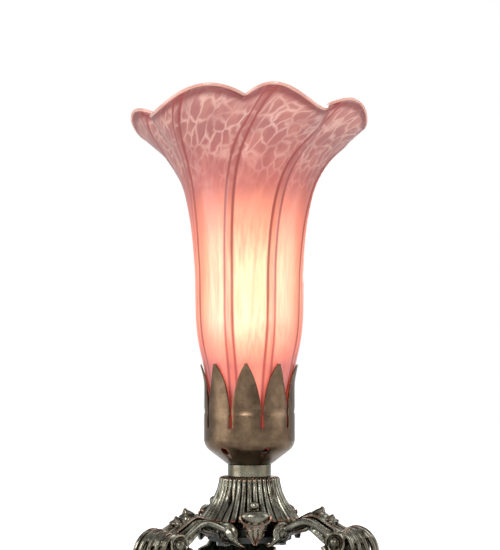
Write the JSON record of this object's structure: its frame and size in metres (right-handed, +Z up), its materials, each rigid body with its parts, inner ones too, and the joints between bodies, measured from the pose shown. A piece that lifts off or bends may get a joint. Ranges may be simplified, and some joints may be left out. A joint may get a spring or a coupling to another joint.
{
  "type": "tulip shade table lamp",
  "caption": "Small table lamp with a ruffled blown-glass lily shade in a petal cup, on a fluted neck and scrolled leaf legs.",
  "frame": {"origin": "on the lamp's axis at table level, in the middle of its three feet", "axes": "+Z up along the lamp's axis, -Y towards the viewer of the picture, +X to that viewer's right"},
  "size_m": [0.1341, 0.1344, 0.3007],
  "materials": {
    "cast_bronze": "dark antique patina with rubbed edges",
    "spun_bronze": "brushed antique",
    "collar_bronze": "satin antique",
    "pink_glass": "mottled, blown",
    "bulb_glass": "frosted",
    "cap_brass": "bright",
    "zinc_steel": "zinc plated",
    "black_moulding": "moulded",
    "felt": "felt",
    "filament": "glowing"
  },
  "bodies": {
    "base": {"left_foot_pad": "felt", "right_foot_pad": "felt", "rear_foot_pad": "felt", "left_scroll_leg": "cast_bronze", "right_scroll_leg": "cast_bronze", "rear_scroll_leg": "cast_bronze", "leg_screws": "zinc_steel", "leg_hub": "cast_bronze", "lower_lock_nut": "zinc_steel", "lower_washer": "zinc_steel", "cord_bushing": "black_moulding", "threaded_pipe": "zinc_steel", "fluted_neck": "cast_bronze", "neck_collar": "collar_bronze", "petal_cup": "spun_bronze", "cup_washer": "zinc_steel", "cup_lock_nut": "zinc_steel", "socket_bracket": "zinc_steel", "socket_body": "black_moulding", "socket_centre_contact": "cap_brass", "socket_screw_shell": "cap_brass", "terminal_screws": "cap_brass"},
    "shade": {"glass_shade": "pink_glass"},
    "bulb_thread": {"bulb_centre_contact": "cap_brass"},
    "bulb": {"bulb_base_insulator": "black_moulding", "bulb_screw_base": "cap_brass", "bulb_envelope": "bulb_glass", "bulb_stem": "bulb_glass", "bulb_lead_wires": "zinc_steel", "bulb_filament": "filament"}
  },
  "joints": [
    {"name": "shade_lift", "type": "slide", "parent": "base", "child": "shade", "axis": [0, 0, 1], "range_m": [0, 0.11]},
    {"name": "bulb_rise", "type": "slide", "parent": "base", "child": "bulb_thread", "axis": [0, 0, 1], "range_m": [0, 0.01144]},
    {"name": "bulb_turn", "type": "hinge", "parent": "bulb_thread", "child": "bulb", "pos_m": [0, 0, 0.13], "axis": [0, 0, 1], "range_deg": [0, 1620]}
  ],
  "couplings": [
    {"joint": "bulb_rise", "follows": "bulb_turn", "m_per_rad": 0.00040425}
  ]
}
